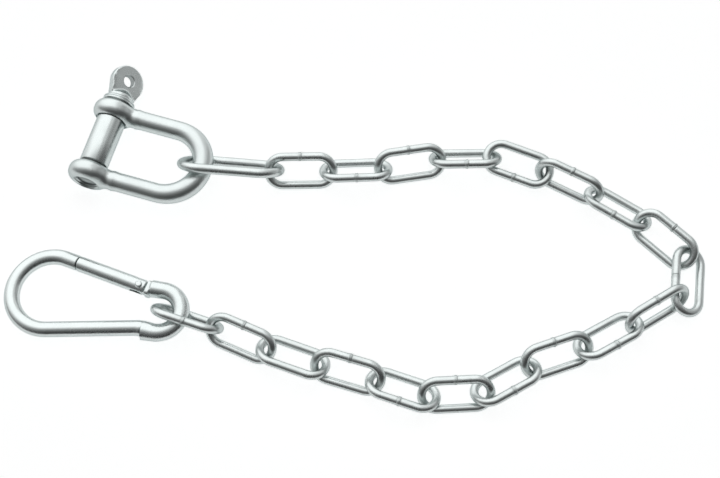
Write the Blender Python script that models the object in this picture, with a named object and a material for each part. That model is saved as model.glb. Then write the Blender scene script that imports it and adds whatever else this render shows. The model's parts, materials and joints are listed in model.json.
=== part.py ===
"""A length of long-link steel chain laid in a loose sideways U.

One end carries a D-shackle with an eye-headed screw pin, the other end a spring snap hook.
Metres, +Z up, the floor at Z 0, the origin under the middle of the laid chain.
Travel along the chain starts at the shackle and ends at the hook. Every piece of it is a wire
ring with a long axis a, a width axis b to the left of travel, and a normal n.
"""
from math import acos, asin, atan2, cos, degrees, hypot, pi, radians, sin

import bmesh
import bpy
import numpy as np
from mathutils import Matrix, Vector

# Chain
LINK_WIRE = 0.008
LINK_INNER_LENGTH = 0.052
LINK_WIDTH = 0.035
END_LINK_WIRE = 0.009
END_LINK_INNER_LENGTH = 0.081
END_LINK_WIDTH = 0.049
LINK_STEPS = 10
LINK_BEVEL = 3
CONTACT_GAP = 0.0004

# Shackle
BOW_WIRE = 0.019
ARM_SCALE = 0.93
BOW_HALF_SPACING = 0.0325
BOW_STEPS = 16
PIN_TO_CROWN = 0.064
EAR_RADIUS = 0.0195
EAR_THICKNESS = 0.018
EAR_EDGE = 0.0025
PIN_EDGE = 0.0006
PIN_RADIUS = 0.0133
THREAD_RADIUS = 0.0105
PIN_CLEARANCE = 0.0004
PIN_END_RECESS = 0.003
COLLAR_RADIUS = 0.015
COLLAR_THICKNESS = 0.0045
RING_RADIUS = 0.0125
RING_THICKNESS = 0.004
HEAD_HEIGHT = 0.035
HEAD_WIDTH = 0.033
HEAD_NECK_WIDTH = 0.015
HEAD_THICKNESS = 0.0075
HEAD_HOLE_RADIUS = 0.0055
HEAD_ROLL = 43.0
HEAD_STEPS = 12
ROUND_SIDES = 24

# Snap hook
HOOK_LENGTH = 0.168
HOOK_ROD = 0.013
HOOK_EYE_ROD = 0.014
HOOK_BIG_RADIUS = 0.0343
HOOK_EYE_RADIUS = 0.0188
HOOK_NECK_RADIUS = 0.0152
NOSE_STATION = 0.0120
GATE_GAP = 0.0008
RIVET_STATION = 0.0735
GATE_TAIL = 0.0057
SHOULDER_GAP = 0.0013
SLOT_HALF_HEIGHT = 0.0029
SLOT_REACH = 0.0075
TONGUE_HALF_HEIGHT = 0.0024
TONGUE_RADIUS = 0.0048
RIVET_RADIUS = 0.0021
RIVET_HEAD_RADIUS = 0.0029
RIVET_HEAD_HEIGHT = 0.0010
RIVET_CLEARANCE = 0.0003
GATE_CHAMFER = 0.0030
GATE_EDGE = 0.0006
SHOULDER_STATION = 0.0838
SHOULDER_RUN = 0.003
BIG_STEPS = 18
EYE_STEPS = 14
TONGUE_STEPS = 8
GATE_SIDES = 16
RIVET_SIDES = 12

# Finish
GREY = 0.62
ROUGHNESS = 0.26
SMOOTH_ANGLE = 40.0
ROD_BEVEL = 4
HOLE_SIDES = 12

# How the pieces lie: travel heading in degrees from +X, roll of the left side up in degrees,
# sideways slide in the neighbour's crown and allowed slack, both in millimetres.
MM = 0.001
SHACKLE_HEADING = -16.5
SHACKLE_PLACE = (-0.1760, 0.0686)
END_LINK_LAY = (-5, -54, 4, 3)
LINK_LAYS = (
    (1, 42, 2, 3), (2, -35, 0, 3), (9, 44, 1, 3), (1, -43, 1, 3), (-22, 10, 3, 2),
    (-28, 72, 2, 5), (-33, -33, 1, 3), (-44, 36, 1, 3), (-98, -26, 4, 6), (-149, -70, -10, 8),
    (-151, 30, -2, 3), (-161, -42, -2, 3), (-151, 29, 2, 3), (183, -42, 0, 6), (161, 25, 2, 6),
    (163, -44, 0, 3), (160, 26, 2, 3), (156, -46, 2, 3), (161, 61, 1, 3),
)
HOOK_LAY = (169, 0, 0, 0)
HOOK_PITCH = -3.4
HOOK_PLACE = (-0.1762, -0.0746)
LIFT_STEP = 0.0005
LIFT_LIMIT = 0.011
REACH_STEP = 0.0005
REACH_LIMIT = 0.010
HALVINGS = 12
SAMPLE_STEP = 0.0007
UP = np.array([0.0, 0.0, 1.0])


def unit(vector):
    """The vector at length one."""
    return vector / np.linalg.norm(vector)


class Ring:
    """One piece of the chain: its wire's centreline in its own axes, and how it lies."""

    def __init__(self, name, wire, points, closed, half_length, radius, lay, pitch=0.0):
        heading, roll, slide, slack = lay
        turn, lean, climb = radians(heading), radians(roll), radians(pitch)
        self.name = name
        self.wire = wire
        self.points = points
        self.closed = closed
        self.half = half_length
        self.radius = radius
        self.slide = slide * MM
        self.slack = slack * MM
        self.a = np.array([cos(turn) * cos(climb), sin(turn) * cos(climb), sin(climb)])
        flat = unit(np.cross(UP, self.a))
        self.b = flat * cos(lean) + np.cross(self.a, flat) * sin(lean)
        self.n = np.cross(self.a, self.b)
        self.centre = np.zeros(3)
        self.rest = wire / 2 + radius * abs(self.b[2]) + half_length * abs(self.a[2])
        self.pivot = None
        self.axis = None

    def far_crown(self):
        """Middle of the crown that carries the piece after."""
        return self.centre + self.a * (self.half + self.radius)

    def samples(self):
        """Close points along the centreline, in world axes from the centre."""
        flat = resample(self.points, self.closed)
        return np.outer(flat[:, 0], self.a) + np.outer(flat[:, 1], self.b)

    def matrix(self):
        """World matrix of the ring's own axes at its centre."""
        rows = np.column_stack([self.a, self.b, self.n, self.centre])
        return Matrix([list(row) for row in rows] + [[0.0, 0.0, 0.0, 1.0]])


def arc(centre, radius, start, end, steps):
    """Points on an arc, angles in degrees."""
    x, y = centre
    angles = [radians(start + (end - start) * k / steps) for k in range(steps + 1)]
    return [(x + radius * cos(angle), y + radius * sin(angle)) for angle in angles]


def link_points(half, radius):
    """A stadium: two straight sides joined by half circles."""
    return arc((half, 0.0), radius, -90, 90, LINK_STEPS) + arc((-half, 0.0), radius, 90, 270, LINK_STEPS)


def bow_points():
    """Both arms of the shackle and the crown between them, origin at the crown's centre."""
    side = BOW_HALF_SPACING
    return [(-PIN_TO_CROWN, -side)] + arc((0.0, 0.0), side, -90, 90, BOW_STEPS) + [(-PIN_TO_CROWN, side)]


def hook_shape():
    """Spacing of the hook's two arc centres, and the angle between its axis and its gate line.

    Both legs run on lines that touch the big arc and a small circle about the eye's centre.
    """
    spread = HOOK_LENGTH - HOOK_BIG_RADIUS - HOOK_EYE_RADIUS - (HOOK_ROD + HOOK_EYE_ROD) / 2
    return spread, asin((HOOK_BIG_RADIUS - HOOK_NECK_RADIUS) / spread)


def gate_line(station, out=0.0):
    """A point on the gate's line: so far from the big end's arc, and so far out of the hook."""
    spread, taper = hook_shape()
    reach = HOOK_BIG_RADIUS + out
    x = spread - reach * sin(taper) - station * cos(taper)
    return (x, -reach * cos(taper) + station * sin(taper))


def hook_points():
    """The hook's rod from nose to hinge, and how thick it is at each point.

    The eye's centre is the origin, X runs to the big end, and the gate is on the -Y side. At its
    shoulders the rod leaves the legs' lines and runs straight on to the eye's arc.
    """
    spread, taper = hook_shape()
    open_angle = 90 + degrees(taper)
    points = [gate_line(NOSE_STATION)]
    points += arc((spread, 0.0), HOOK_BIG_RADIUS, -open_angle, open_angle, BIG_STEPS)
    along, aside = gate_line(SHOULDER_STATION - SHOULDER_RUN)
    points.append((along, -aside))
    thick = [1.0] * len(points)
    along, aside = gate_line(SHOULDER_STATION)
    points.append((along, -aside))
    eye_angle = degrees(atan2(-aside, along) + acos(HOOK_EYE_RADIUS / hypot(along, aside)))
    points += arc((0.0, 0.0), HOOK_EYE_RADIUS, eye_angle, 360 - eye_angle, EYE_STEPS)
    points.append((along, aside))
    points.append(gate_line(RIVET_STATION + GATE_TAIL + SHOULDER_GAP))
    thick += [HOOK_EYE_ROD / HOOK_ROD] * (len(points) - len(thick))
    return points, thick


def resample(points, closed):
    """Points no farther apart than the sample step along a flat outline."""
    samples = []
    ends = points[1:] + points[:1] if closed else points[1:]
    for start, end in zip(points, ends):
        count = max(1, int(hypot(end[0] - start[0], end[1] - start[1]) / SAMPLE_STEP))
        for part in np.arange(count) / count:
            x, y = start[0] + (end[0] - start[0]) * part, start[1] + (end[1] - start[1]) * part
            samples.append((x, y))
    return np.array(samples)


def distances(first, second):
    """Distances between all points of two sets."""
    return np.sqrt(((first[:, None] - second[None]) ** 2).sum(-1))


def hook_into(before, ring):
    """Place a ring in the crown of the one before, pulled out until the wires nearly touch.

    It lies on the floor where it can. Where its neighbour would hold it back by more than its
    slack, it is lifted a step at a time.
    """
    travel = before.a + ring.a
    travel = unit(np.array([travel[0], travel[1], 0.0]))
    sideways = np.cross(UP, travel)
    spacing = (before.wire + ring.wire) / 2
    fixed = before.samples() + before.centre
    moving = ring.samples()
    taut = (before.far_crown() - travel * spacing + ring.a * (ring.half + ring.radius)
            + sideways * ring.slide)

    def spot(pull, height):
        """The centre at this pull and height, and the room left between the wires."""
        place = taut + travel * pull
        place[2] = height
        return place, distances(fixed, moving + place).min() - spacing - CONTACT_GAP

    best = None
    for lift in np.arange(0.0, LIFT_LIMIT, LIFT_STEP):
        height = ring.rest + lift
        for pull in np.arange(2 * REACH_STEP, -REACH_LIMIT, -REACH_STEP):
            if spot(pull, height)[1] < 0:
                continue
            low, high = pull, pull + REACH_STEP
            for _ in range(HALVINGS):
                middle = (low + high) / 2
                if spot(middle, height)[1] >= 0:
                    low = middle
                else:
                    high = middle
            if best is None or low > best[0]:
                best = (low, spot(low, height)[0])
            break
        if best is not None and best[0] >= -ring.slack:
            break
    if best is None:
        raise ValueError(ring.name + " does not fit its neighbour")
    ring.centre = best[1]
    touch = distances(fixed, moving + ring.centre)
    index = np.unravel_index(touch.argmin(), touch.shape)[0]
    ring.pivot = fixed[index]
    ring.axis = unit(fixed[(index + 1) % len(fixed)] - fixed[index - 1])


def lay_loose(before, ring, place):
    """Lay a ring loose at a place inside the one before, as low as the wires let it lie.

    It swings about the crown that it would be pulled against.
    """
    ring.pivot, ring.axis = before.far_crown(), ring.n
    spacing = (before.wire + ring.wire) / 2 + CONTACT_GAP
    fixed = before.samples() + before.centre
    moving = ring.samples()
    low, high = ring.rest, ring.rest + LIFT_LIMIT
    for _ in range(HALVINGS):
        ring.centre = np.array(place + (low,))
        if distances(fixed, moving + ring.centre).min() >= spacing:
            return
        middle = (low + high) / 2
        if distances(fixed, moving + np.array(place + (middle,))).min() >= spacing:
            high = middle
        else:
            low = middle
    ring.centre = np.array(place + (high,))


def lay_chain():
    """Every ring in order of travel: shackle bow, end link, links and hook."""
    shackle = Ring("shackle_bow", BOW_WIRE, bow_points(), False, 0.0, BOW_HALF_SPACING,
                   (SHACKLE_HEADING, 0, 0, 0))
    shackle.centre = np.array(SHACKLE_PLACE + (EAR_RADIUS,))
    radius = (END_LINK_WIDTH - END_LINK_WIRE) / 2
    half = (END_LINK_INNER_LENGTH + END_LINK_WIRE) / 2 - radius
    rings = [shackle, Ring("end_link", END_LINK_WIRE, link_points(half, radius), True, half, radius,
                           END_LINK_LAY)]
    radius = (LINK_WIDTH - LINK_WIRE) / 2
    half = (LINK_INNER_LENGTH + LINK_WIRE) / 2 - radius
    points = link_points(half, radius)
    for number, lay in enumerate(LINK_LAYS, 2):
        rings.append(Ring("link_%02d" % number, LINK_WIRE, points, True, half, radius, lay))
    hook = Ring("hook_body", HOOK_EYE_ROD, hook_points()[0], False, 0.0, HOOK_EYE_RADIUS,
                HOOK_LAY, HOOK_PITCH)
    hook.rest = HOOK_ROD / 2 + (hook_shape()[0] + HOOK_BIG_RADIUS) * abs(hook.a[2])
    rings.append(hook)
    for before, ring in zip(rings, rings[1:-1]):
        hook_into(before, ring)
    lay_loose(rings[-2], hook, HOOK_PLACE)
    return rings


def steel(name):
    """Bright zinc-plated steel."""
    material = bpy.data.materials.new(name)
    material.use_nodes = True
    shader = material.node_tree.nodes["Principled BSDF"]
    shader.inputs["Base Color"].default_value = (GREY, GREY, GREY, 1.0)
    shader.inputs["Metallic"].default_value = 1.0
    shader.inputs["Roughness"].default_value = ROUGHNESS
    return material


def add(name, mesh, matrix, holder):
    """Put a steel piece in the scene at a world matrix, under an empty on its joint's axis."""
    thing = bpy.data.objects.new(name, mesh)
    bpy.context.scene.collection.objects.link(thing)
    thing.parent = holder
    thing.matrix_basis = holder.matrix_basis.inverted() @ matrix
    mesh.materials.clear()
    mesh.materials.append(steel(name))
    mesh.shade_smooth()
    mesh.set_sharp_from_angle(angle=radians(SMOOTH_ANGLE))


def add_joint(name, place, axis, root):
    """An empty on a joint, with its Z axis along the joint's."""
    empty = bpy.data.objects.new(name, None)
    bpy.context.scene.collection.objects.link(empty)
    empty.parent = root
    turn = Vector(axis).to_track_quat("Z", "Y").to_matrix().to_4x4()
    empty.matrix_basis = Matrix.Translation(place) @ turn
    return empty


def wire_mesh(points, wire, closed, resolution, thick=None):
    """A round wire along flat points: a curve with a bevel and filled caps, as a mesh."""
    curve = bpy.data.curves.new("wire", "CURVE")
    curve.dimensions = "3D"
    curve.bevel_depth = wire / 2
    curve.bevel_resolution = resolution
    curve.use_fill_caps = True
    spline = curve.splines.new("POLY")
    spline.points.add(len(points) - 1)
    for index, (x, y) in enumerate(points):
        spline.points[index].co = (x, y, 0.0, 1.0)
        spline.points[index].radius = thick[index] if thick else 1.0
    spline.use_cyclic_u = closed
    holder = bpy.data.objects.new("wire", curve)
    bpy.context.scene.collection.objects.link(holder)
    mesh = evaluated_mesh(holder)
    bpy.data.objects.remove(holder)
    return mesh


def evaluated_mesh(thing):
    """A new mesh of an object as its modifiers or bevel leave it."""
    bpy.context.view_layer.update()
    return bpy.data.meshes.new_from_object(thing.evaluated_get(bpy.context.evaluated_depsgraph_get()))


def written(work, name, matrix=None):
    """Turn a bmesh into a mesh whose faces point out, moved by a matrix."""
    bmesh.ops.recalc_face_normals(work, faces=work.faces)
    if matrix is not None:
        bmesh.ops.transform(work, matrix=matrix, verts=work.verts)
    mesh = bpy.data.meshes.new(name)
    work.to_mesh(mesh)
    work.free()
    return mesh


def turned(profile, matrix=None, sides=ROUND_SIDES):
    """A solid turned about local Y from (radius, y) pairs, closed at both ends."""
    work = bmesh.new()
    angles = [2 * pi * k / sides for k in range(sides)]
    rows = [[work.verts.new((radius * cos(angle), along, radius * sin(angle))) for angle in angles]
            for radius, along in profile]
    for first, second in zip(rows, rows[1:]):
        for k in range(sides):
            after = (k + 1) % sides
            work.faces.new((first[k], second[k], second[after], first[after]))
    work.faces.new(rows[0])
    work.faces.new(rows[-1])
    return written(work, "turned", matrix)


def extruded(outline, low, high, matrix=None):
    """A flat outline in local X and Y, extruded between two heights."""
    work = bmesh.new()
    base = work.faces.new([work.verts.new((x, y, low)) for x, y in outline])
    raised = bmesh.ops.extrude_face_region(work, geom=[base])
    top = [item for item in raised["geom"] if isinstance(item, bmesh.types.BMVert)]
    bmesh.ops.translate(work, verts=top, vec=(0.0, 0.0, high - low))
    return written(work, "extruded", matrix)


def combined(mesh, others, operation):
    """The mesh joined with, or cut by, other meshes that share its axes."""
    thing = bpy.data.objects.new("work", mesh)
    tools = [bpy.data.objects.new("tool", other) for other in others]
    for item in [thing] + tools:
        bpy.context.scene.collection.objects.link(item)
    for tool in tools:
        modifier = thing.modifiers.new("combine", "BOOLEAN")
        modifier.operation = operation
        modifier.object = tool
    result = evaluated_mesh(thing)
    for item in tools + [thing]:
        bpy.data.objects.remove(item)
    return result


def hole_outline(along, radius):
    """A small circle about the Y axis at this distance along it."""
    return arc((0.0, along), radius, 0, 360, HOLE_SIDES)[:-1]


def build_links(rings, root):
    """The end link and the chain's links, each under an empty in the crown it hangs in."""
    for ring in rings[1:-1]:
        holder = add_joint("joint_" + ring.name, ring.pivot, ring.axis, root)
        add(ring.name, wire_mesh(ring.points, ring.wire, True, LINK_BEVEL), ring.matrix(), holder)


def bow_mesh():
    """Bow and bored ears of the shackle."""
    side = BOW_HALF_SPACING
    inner, outer = side - EAR_THICKNESS / 2, side + EAR_THICKNESS / 2
    ears = []
    at_pin = Matrix.Translation((-PIN_TO_CROWN, 0.0, 0.0))
    for hand in (1.0, -1.0):
        profile = [(EAR_RADIUS - EAR_EDGE, hand * inner), (EAR_RADIUS, hand * (inner + EAR_EDGE)),
                   (EAR_RADIUS, hand * (outer - EAR_EDGE)), (EAR_RADIUS - EAR_EDGE, hand * outer)]
        ears.append(turned(profile, at_pin))
    points = bow_points()
    thick = [ARM_SCALE + (1 - ARM_SCALE) * max(0.0, x / side) for x, _ in points]
    bow = combined(wire_mesh(points, BOW_WIRE, False, ROD_BEVEL, thick), ears, "UNION")
    bore, thread = PIN_RADIUS + PIN_CLEARANCE, THREAD_RADIUS + PIN_CLEARANCE
    step = -inner - PIN_EDGE
    drill = turned([(thread, -2 * side), (thread, step), (bore, step), (bore, 2 * side)], at_pin)
    return combined(bow, [drill], "DIFFERENCE")


def pin_mesh():
    """Screw pin: thread, barrel, collar, ring and the flat eye head; its axis is local Y."""
    inner, outer = BOW_HALF_SPACING - EAR_THICKNESS / 2, BOW_HALF_SPACING + EAR_THICKNESS / 2
    tip, seat = -outer + PIN_END_RECESS, outer + PIN_CLEARANCE
    ring_low = seat + COLLAR_THICKNESS
    ring_high = ring_low + RING_THICKNESS
    edge = PIN_EDGE
    shank = turned([
        (THREAD_RADIUS - edge, tip), (THREAD_RADIUS, tip + edge), (THREAD_RADIUS, -inner),
        (PIN_RADIUS - edge, -inner), (PIN_RADIUS, -inner + edge), (PIN_RADIUS, seat),
        (COLLAR_RADIUS - edge, seat), (COLLAR_RADIUS, seat + edge), (COLLAR_RADIUS, ring_low - edge),
        (COLLAR_RADIUS - edge, ring_low), (RING_RADIUS, ring_low), (RING_RADIUS, ring_high - edge),
        (RING_RADIUS - 2 * edge, ring_high)])
    base = ring_low + edge
    middle = base + HEAD_HEIGHT - HEAD_WIDTH / 2
    turn = Matrix.Rotation(radians(HEAD_ROLL), 4, "Y")
    outline = [(HEAD_NECK_WIDTH / 2, base)]
    outline += arc((0.0, middle), HEAD_WIDTH / 2, -15, 195, HEAD_STEPS)
    outline.append((-HEAD_NECK_WIDTH / 2, base))
    plate = extruded(outline, -HEAD_THICKNESS / 2, HEAD_THICKNESS / 2, turn)
    hole = extruded(hole_outline(middle, HEAD_HOLE_RADIUS), -HEAD_WIDTH, HEAD_WIDTH, turn)
    return combined(combined(shank, [plate], "UNION"), [hole], "DIFFERENCE")


def build_shackle(ring, root):
    """Bow with ears, and the screw pin through them."""
    add("shackle_bow", bow_mesh(), ring.matrix(), root)
    matrix = ring.matrix() @ Matrix.Translation((-PIN_TO_CROWN, 0.0, 0.0))
    holder = add_joint("joint_shackle_pin", matrix.translation, ring.b, root)
    add("shackle_pin", pin_mesh(), matrix, holder)


def gate_axes():
    """The gate's own axes in the hook: origin on the rivet, X to the eye, Y out of the hook."""
    taper = hook_shape()[1]
    x, y = gate_line(RIVET_STATION)
    return Matrix(((-cos(taper), -sin(taper), 0.0, x), (sin(taper), -cos(taper), 0.0, y),
                   (0.0, 0.0, 1.0, 0.0), (0.0, 0.0, 0.0, 1.0)))


def hook_body_mesh():
    """Bent rod with the flat hinge tongue, drilled for the rivet."""
    points, thick = hook_points()
    rod = wire_mesh(points, HOOK_ROD, False, ROD_BEVEL, thick)
    root_x = GATE_TAIL + SHOULDER_GAP + TONGUE_RADIUS
    outline = arc((0.0, 0.0), TONGUE_RADIUS, 90, 270, TONGUE_STEPS)
    outline += [(root_x, -TONGUE_RADIUS), (root_x, TONGUE_RADIUS)]
    tongue = extruded(outline, -TONGUE_HALF_HEIGHT, TONGUE_HALF_HEIGHT, gate_axes())
    bore = RIVET_RADIUS + RIVET_CLEARANCE
    hole = extruded(hole_outline(0.0, bore), -HOOK_ROD, HOOK_ROD, gate_axes())
    return combined(combined(rod, [tongue], "UNION"), [hole], "DIFFERENCE")


def gate_mesh():
    """Round gate, slotted and drilled at its hinge end, its inner tail corner cut away."""
    nose = NOSE_STATION + GATE_GAP - RIVET_STATION
    radius = HOOK_ROD / 2
    lie = Matrix.Rotation(-pi / 2, 4, "Z")
    bar = turned([(radius - GATE_EDGE, nose), (radius, nose + GATE_EDGE), (radius, GATE_TAIL)], lie,
                 GATE_SIDES)
    slot = extruded([(-SLOT_REACH, -2 * radius), (2 * radius, -2 * radius), (2 * radius, 2 * radius),
                     (-SLOT_REACH, 2 * radius)], -SLOT_HALF_HEIGHT, SLOT_HALF_HEIGHT)
    cut = GATE_CHAMFER
    corner = extruded([(GATE_TAIL - 2 * cut, -radius - cut), (GATE_TAIL + cut, -radius - cut),
                       (GATE_TAIL + cut, -radius + 2 * cut)], -2 * radius, 2 * radius)
    hole = extruded(hole_outline(0.0, RIVET_RADIUS + RIVET_CLEARANCE), -2 * radius, 2 * radius)
    return combined(bar, [slot, corner, hole], "DIFFERENCE")


def rivet_mesh():
    """Round rivet with a low head at both ends; its axis is the hinge's."""
    shank = HOOK_ROD / 2 + RIVET_CLEARANCE
    top = shank + RIVET_HEAD_HEIGHT
    edge = RIVET_HEAD_HEIGHT / 2
    half = [(RIVET_RADIUS, shank), (RIVET_HEAD_RADIUS, shank), (RIVET_HEAD_RADIUS, top - edge),
            (RIVET_HEAD_RADIUS - edge, top)]
    profile = [(radius, -along) for radius, along in reversed(half)] + half
    return turned(profile, Matrix.Rotation(pi / 2, 4, "X"), RIVET_SIDES)


def build_hook(ring, root):
    """Body, gate and rivet of the snap hook."""
    holder = add_joint("joint_hook", ring.pivot, ring.axis, root)
    add("hook_body", hook_body_mesh(), ring.matrix(), holder)
    matrix = ring.matrix() @ gate_axes()
    swing = add_joint("joint_gate", matrix.translation, ring.n, root)
    add("hook_gate", gate_mesh(), matrix, swing)
    add("gate_rivet", rivet_mesh(), matrix, swing)


def centre_lay(root):
    """Move the whole lay so that the middle of its outline stands over the origin."""
    bpy.context.view_layer.update()
    corners = [thing.matrix_world @ vertex.co for thing in bpy.data.objects if thing.type == "MESH"
               for vertex in thing.data.vertices]
    for axis in (0, 1):
        values = [corner[axis] for corner in corners]
        root.location[axis] = -(min(values) + max(values)) / 2
    root.location[2] = -min(corner[2] for corner in corners)


def main():
    """Build every piece and centre the lay over the origin."""
    for thing in list(bpy.data.objects):
        bpy.data.objects.remove(thing)
    root = bpy.data.objects.new("lay", None)
    bpy.context.scene.collection.objects.link(root)
    rings = lay_chain()
    build_shackle(rings[0], root)
    build_links(rings, root)
    build_hook(rings[-1], root)
    centre_lay(root)
    return rings, root


if __name__ == "__main__":
    main()
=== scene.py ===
"""Looks of a length of steel chain with a D-shackle at one end and a spring snap hook at the other.

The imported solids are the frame. Each piece here is a closed surface worked out in its own axes,
placed where its solid lies, and it rides on that solid's body. Metres, +Z up, floor at Z 0.
"""

import json
import logging
from collections.abc import Callable, Iterable
from dataclasses import dataclass, field
from enum import Enum

import bpy
import numpy as np
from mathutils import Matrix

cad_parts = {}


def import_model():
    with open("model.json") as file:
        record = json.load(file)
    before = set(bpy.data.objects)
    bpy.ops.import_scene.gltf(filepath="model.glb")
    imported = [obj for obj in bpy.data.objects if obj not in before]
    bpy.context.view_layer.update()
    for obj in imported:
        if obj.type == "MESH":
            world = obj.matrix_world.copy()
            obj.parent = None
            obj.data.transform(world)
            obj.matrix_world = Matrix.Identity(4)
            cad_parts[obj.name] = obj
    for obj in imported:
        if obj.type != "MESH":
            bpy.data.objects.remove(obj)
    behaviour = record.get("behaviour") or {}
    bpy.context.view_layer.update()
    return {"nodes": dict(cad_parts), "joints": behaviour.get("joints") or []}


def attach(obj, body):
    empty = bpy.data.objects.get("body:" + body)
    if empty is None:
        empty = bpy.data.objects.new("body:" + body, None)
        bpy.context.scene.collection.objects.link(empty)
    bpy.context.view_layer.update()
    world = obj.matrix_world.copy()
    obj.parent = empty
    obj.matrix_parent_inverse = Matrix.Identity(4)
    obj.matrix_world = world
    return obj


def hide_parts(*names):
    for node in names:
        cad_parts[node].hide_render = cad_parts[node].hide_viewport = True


Array = np.ndarray
Tree = bpy.types.NodeTree
Socket = bpy.types.NodeSocket
MM = 0.001
UP = np.array([0.0, 0.0, 1.0])
TAU = 2 * np.pi
SMOOTH_ANGLE = 38.0
HALVINGS = 26
BEND_ROWS = 12
GRAIN_LENGTH = 0.25
# Point marks: weld and rub are the steel's own tone; bore marks where dark shade is painted in bores,
# gaps, recesses and slots.
MARKS = ("weld", "bore", "rub")
HALF = 0.5
log = logging.getLogger("chain")


class Side(Enum):
    """Which long side of a link carries the weld."""

    LEFT = 1
    RIGHT = -1
    HIDDEN = 0


def unit(vector: Array) -> Array:
    """The vector at length one."""
    return vector / np.linalg.norm(vector)


def round_angles(count: int) -> Array:
    """Angles of so many points round a circle."""
    return np.arange(count) * TAU / count


def bell(distance: Array, width: float) -> Array:
    """A smooth bump: one at nought, fading over the width."""
    return np.exp(-((distance / width) ** 2))


def ease(value: Array, start: float, end: float) -> Array:
    """A smooth step from nought at the start to one at the end."""
    part = np.clip((value - start) / (end - start), 0.0, 1.0)
    return part * part * (3 - 2 * part)


def inner_side(angle: Array) -> Array:
    """How far a column lies on the inner side of a bend: one in its middle, nought behind it."""
    return np.clip(np.cos(angle), 0, 1) ** 2


def squared(angle: Array, power: int) -> Array:
    """Radius of a rounded square at each angle; the higher the power, the sharper its corners."""
    return (np.abs(np.cos(angle)) ** power + np.abs(np.sin(angle)) ** power) ** (-1 / power)


@dataclass(frozen=True)
class Place:
    """A piece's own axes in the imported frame: long axis a, width axis b and normal n."""

    origin: Array
    a: Array
    b: Array
    n: Array

    def world(self, points: Array) -> Array:
        """Points in the piece's own axes, as points of the frame."""
        return self.origin + points @ np.stack([self.a, self.b, self.n])


@dataclass
class Skin:
    """A closed surface on a grid: rows along it, columns round it, marks for finish and painted shade.
    """

    points: Array
    ring: bool = False
    marks: dict = field(default_factory=dict)

    def grain(self) -> Array:
        """Coordinates for marks that run along the surface: fast round it, slow along it.

        Formula: the circle of the column's angle, and the cosine of the row's share of a turn, so
        that the pattern joins up with itself at every seam.

        Returns:
            One vector for each grid point.
        """
        rows = self.points.shape[0]
        angle = round_angles(self.points.shape[1])
        along = round_angles(rows)[:, None]
        parts = np.broadcast_arrays(np.cos(angle), np.sin(angle), GRAIN_LENGTH * np.cos(along))
        return np.stack(parts, -1)

    def faces(self) -> list:
        """Quads between the rows, and a fan at each pole of an open surface.

        Returns:
            Corner numbers of each face, so ordered that it looks outwards.
        """
        rows, columns = self.points.shape[:2]
        row = np.arange(rows if self.ring else rows - 1)[:, None] * columns
        after = (row + columns) % (rows * columns)
        column = np.arange(columns)[None, :]
        beside = (column + 1) % columns
        quads = np.stack([row + column, row + beside, after + beside, after + column], -1)
        faces = quads.reshape(-1, 4).tolist()
        if not self.ring:
            first, last = rows * columns, (rows - 1) * columns
            here, there = column[0], beside[0]
            start = np.stack([0 * here + first, there, here], -1)
            end = np.stack([0 * here + first + 1, last + here, last + there], -1)
            faces += start.tolist() + end.tolist()
        return faces

    def mesh(self, name: str, place: Place) -> bpy.types.Mesh:
        """The surface as a mesh of the frame.

        Args:
            name: Name of the mesh.
            place: The piece's own axes.

        Returns:
            A closed mesh with its marks and its grain as point attributes.
        """
        points = self.points.reshape(-1, 3)
        marks = {key: value.reshape(-1) for key, value in self.marks.items()}
        grain = self.grain().reshape(-1, 3)
        if not self.ring:
            ends = self.points[0].mean(0), self.points[-1].mean(0)
            points = np.vstack([points, *ends])
            grain = np.vstack([grain, [0, 0, GRAIN_LENGTH], [0, 0, GRAIN_LENGTH]])
            marks = {key: np.append(value, (value[0], value[-1])) for key, value in marks.items()}
        mesh = bpy.data.meshes.new(name)
        mesh.from_pydata(place.world(points).tolist(), [], self.faces())
        layer = mesh.attributes.new("grain", "FLOAT_VECTOR", "POINT")
        layer.data.foreach_set("vector", grain.astype(np.float32).ravel())
        for key in MARKS:
            layer = mesh.attributes.new(key, "FLOAT", "POINT")
            values = marks.get(key, np.zeros(len(points)))
            layer.data.foreach_set("value", values.astype(np.float32))
        return mesh


def swept(centre: Array, heading: Array, outward: Array, upward: Array) -> Array:
    """A section carried along a flat path.

    Formula: centre, plus the outward part along the path's left side, plus the upward part along
    the normal. The left side is the path's direction turned a quarter turn to the left.

    Args:
        centre: Points of the path, rows x 2.
        heading: Direction of the path at each row, in radians.
        outward: Section's part to the left of the path, rows x columns.
        upward: Section's part along the normal, rows x columns.

    Returns:
        Grid of points, rows x columns x 3.
    """
    x = centre[:, :1] - np.sin(heading)[:, None] * outward
    y = centre[:, 1:] + np.cos(heading)[:, None] * outward
    return np.stack([x, y, upward], -1)


def traced(field_at: Callable[[Array], Array], shape: tuple, reach: float) -> Array:
    """How far out of the middle a shape's skin lies, along every ray of a grid at once.

    Formula: the gap between a point inside and a point outside is halved again and again.

    Args:
        field_at: Takes the distances along the rays and gives a value below nought inside.
        shape: Rows and columns of the rays.
        reach: A distance that is outside everywhere.

    Returns:
        Distance of the skin along each ray.
    """
    inside, outside = np.zeros(shape), np.full(shape, reach)
    for _ in range(HALVINGS):
        middle = (inside + outside) / 2
        within = field_at(middle) < 0
        inside = np.where(within, middle, inside)
        outside = np.where(within, outside, middle)
    return (inside + outside) / 2


def disc(radial: Array, axial: Array, radius: float, half: float, edge: float) -> Array:
    """Distance to a flat disc with a rounded rim, below nought inside.

    Args:
        radial: Distance from the disc's axis.
        axial: Place along the axis.
        radius: The disc's radius.
        half: Half of its thickness.
        edge: Radius of its rounded rim.

    Returns:
        The distance at every place.
    """
    out = radial - (radius - edge), np.abs(axial) - (half - edge)
    corner = np.hypot(np.maximum(out[0], 0), np.maximum(out[1], 0))
    return corner + np.minimum(np.maximum(*out), 0) - edge


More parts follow.
